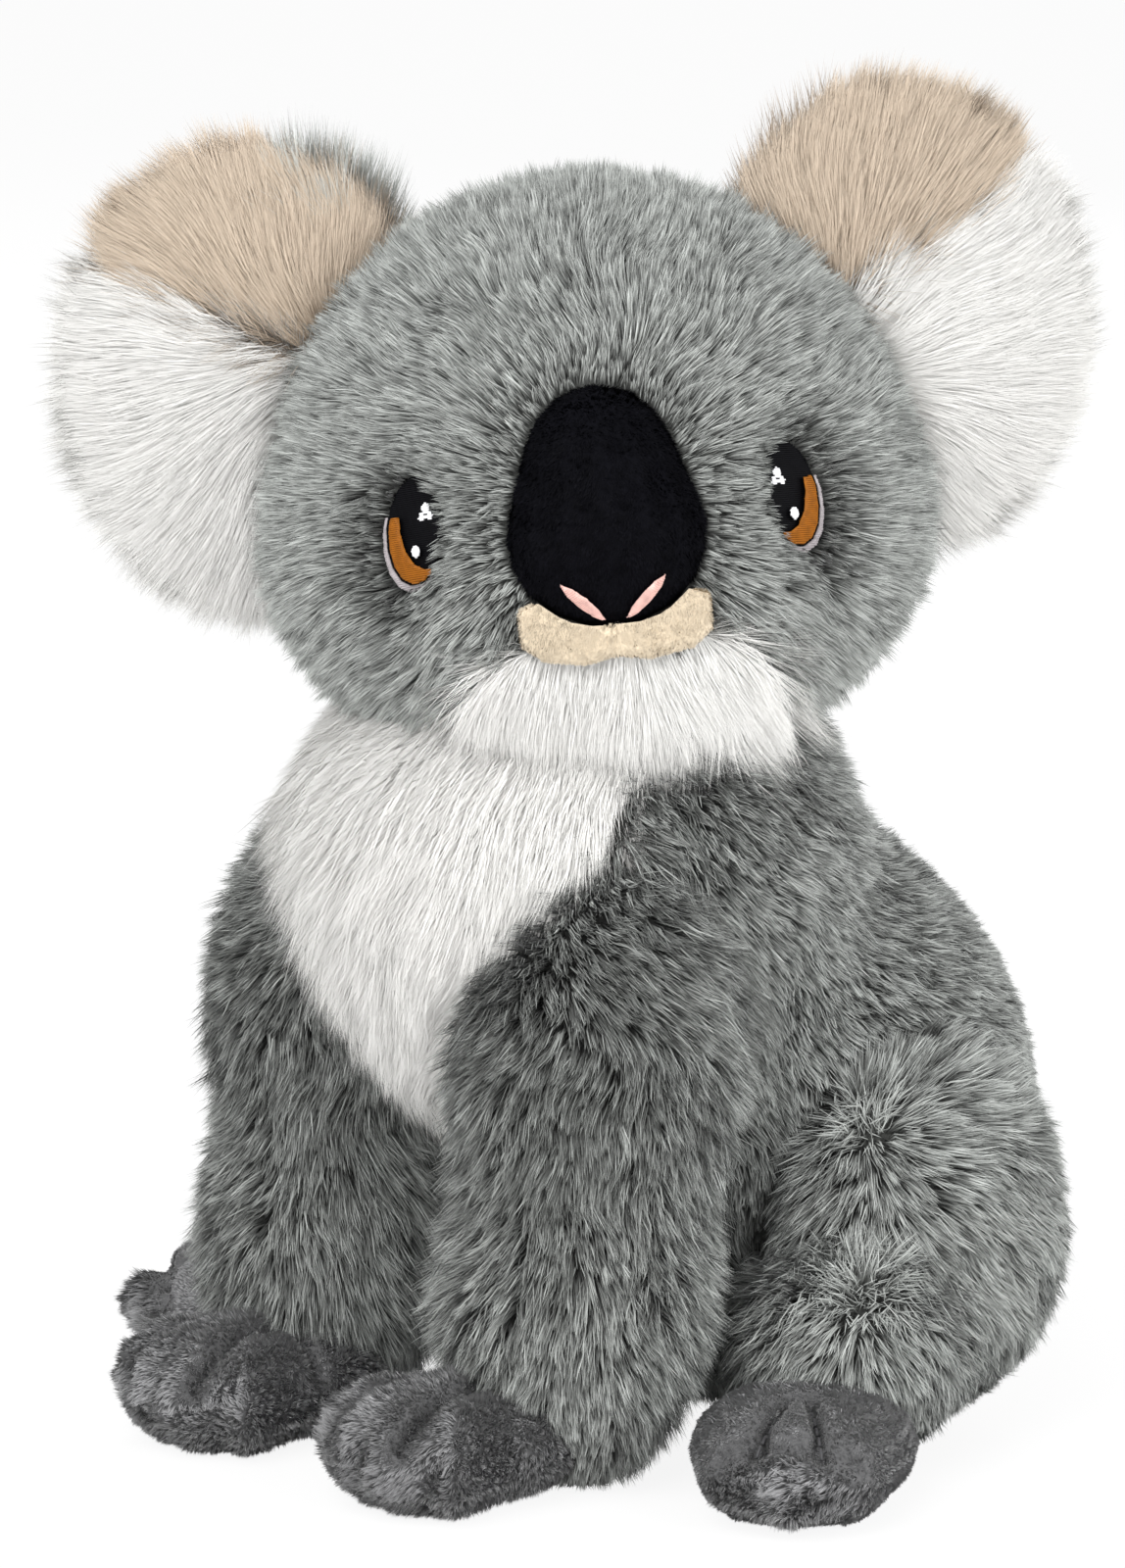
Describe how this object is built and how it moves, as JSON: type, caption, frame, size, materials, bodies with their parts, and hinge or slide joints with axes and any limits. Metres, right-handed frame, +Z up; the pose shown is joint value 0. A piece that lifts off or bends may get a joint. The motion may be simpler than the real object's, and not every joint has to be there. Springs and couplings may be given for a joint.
{
  "type": "plush koala",
  "caption": "Seated plush koala with its head turned: shaggy grey fur, white bib, round ears, embroidered eyes, soft neck, ears, arms and legs.",
  "frame": {"origin": "middle of the footprint, on the floor under the toy", "axes": "+Z up, the body faces -Y and its own left side is +X"},
  "size_m": [0.1824, 0.1622, 0.2212],
  "materials": {
    "grey_fur": "shaggy grey plush",
    "white_fur": "shaggy white plush",
    "tan_fur": "shaggy tan plush",
    "lip_plush": "short cream plush",
    "black_velvet": "short black pile",
    "slate_plush": "short dark plush",
    "amber_thread": "satin embroidery",
    "rim_thread": "satin embroidery",
    "white_thread": "satin embroidery",
    "pink_thread": "satin embroidery",
    "dark_thread": "matt thread",
    "polyester_fill": "loose fibre",
    "bag_cloth": "plain weave"
  },
  "bodies": {
    "torso": {"body_skin": "grey_fur", "chest_bib": "white_fur", "pellet_bag": "bag_cloth", "body_stuffing": "polyester_fill"},
    "head": {"head_skin": "grey_fur", "chin_patch": "white_fur", "head_stuffing": "polyester_fill", "nose_skin": "black_velvet", "nose_stuffing": "polyester_fill", "nostril_stitch_left": "pink_thread", "nostril_stitch_right": "pink_thread", "lip_band": "lip_plush", "eye_black_left": "black_velvet", "eye_iris_left": "amber_thread", "eye_rim_left": "rim_thread", "eye_glint_large_left": "white_thread", "eye_glint_small_left": "white_thread", "eye_black_right": "black_velvet", "eye_iris_right": "amber_thread", "eye_rim_right": "rim_thread", "eye_glint_large_right": "white_thread", "eye_glint_small_right": "white_thread"},
    "ear_left": {"ear_back_left": "grey_fur", "ear_tan_left": "tan_fur", "ear_white_left": "white_fur", "ear_padding_left": "polyester_fill"},
    "ear_right": {"ear_back_right": "grey_fur", "ear_tan_right": "tan_fur", "ear_white_right": "white_fur", "ear_padding_right": "polyester_fill"},
    "arm_left": {"arm_skin_left": "grey_fur", "arm_stuffing_left": "polyester_fill", "paw_skin_left": "slate_plush", "paw_stuffing_left": "polyester_fill"},
    "arm_right": {"arm_skin_right": "grey_fur", "arm_stuffing_right": "polyester_fill", "paw_skin_right": "slate_plush", "paw_stuffing_right": "polyester_fill"},
    "leg_left": {"leg_skin_left": "grey_fur", "leg_stuffing_left": "polyester_fill", "foot_skin_left": "slate_plush", "foot_stuffing_left": "polyester_fill", "toe_stitch_inner_left": "dark_thread", "toe_stitch_outer_left": "dark_thread"},
    "leg_right": {"leg_skin_right": "grey_fur", "leg_stuffing_right": "polyester_fill", "foot_skin_right": "slate_plush", "foot_stuffing_right": "polyester_fill", "toe_stitch_inner_right": "dark_thread", "toe_stitch_outer_right": "dark_thread"}
  },
  "joints": [
    {"name": "neck", "type": "hinge", "parent": "torso", "child": "head", "pos_m": [0, -0.00839, 0.098], "axis": [0, 0, 1], "range_deg": [-15, 15], "stiffness_Nm_per_rad": 0.08},
    {"name": "ear_root_left", "type": "hinge", "parent": "head", "child": "ear_left", "pos_m": [0.01306, 0.03673, 0.18634], "axis": [-0.1413, -0.0065, 0.9899], "range_deg": [-15, 15], "stiffness_Nm_per_rad": 0.01},
    {"name": "ear_root_right", "type": "hinge", "parent": "head", "child": "ear_right", "pos_m": [-0.04004, -0.02787, 0.17833], "axis": [-0.1413, -0.0065, 0.9899], "range_deg": [-15, 15], "stiffness_Nm_per_rad": 0.01},
    {"name": "shoulder_left", "type": "hinge", "parent": "torso", "child": "arm_left", "pos_m": [0, -0.00839, 0.098], "axis": [-1, 0, 0], "range_deg": [0, 25], "stiffness_Nm_per_rad": 0.05},
    {"name": "shoulder_right", "type": "hinge", "parent": "torso", "child": "arm_right", "pos_m": [0, -0.00839, 0.098], "axis": [-1, 0, 0], "range_deg": [0, 25], "stiffness_Nm_per_rad": 0.05},
    {"name": "hip_left", "type": "hinge", "parent": "torso", "child": "leg_left", "pos_m": [0, 0.03161, 0.049], "axis": [-0.9063, -0.4226, 0], "range_deg": [0, 12], "stiffness_Nm_per_rad": 0.05},
    {"name": "hip_right", "type": "hinge", "parent": "torso", "child": "leg_right", "pos_m": [0, 0.03161, 0.049], "axis": [-0.9063, 0.4226, 0], "range_deg": [0, 12], "stiffness_Nm_per_rad": 0.05}
  ]
}
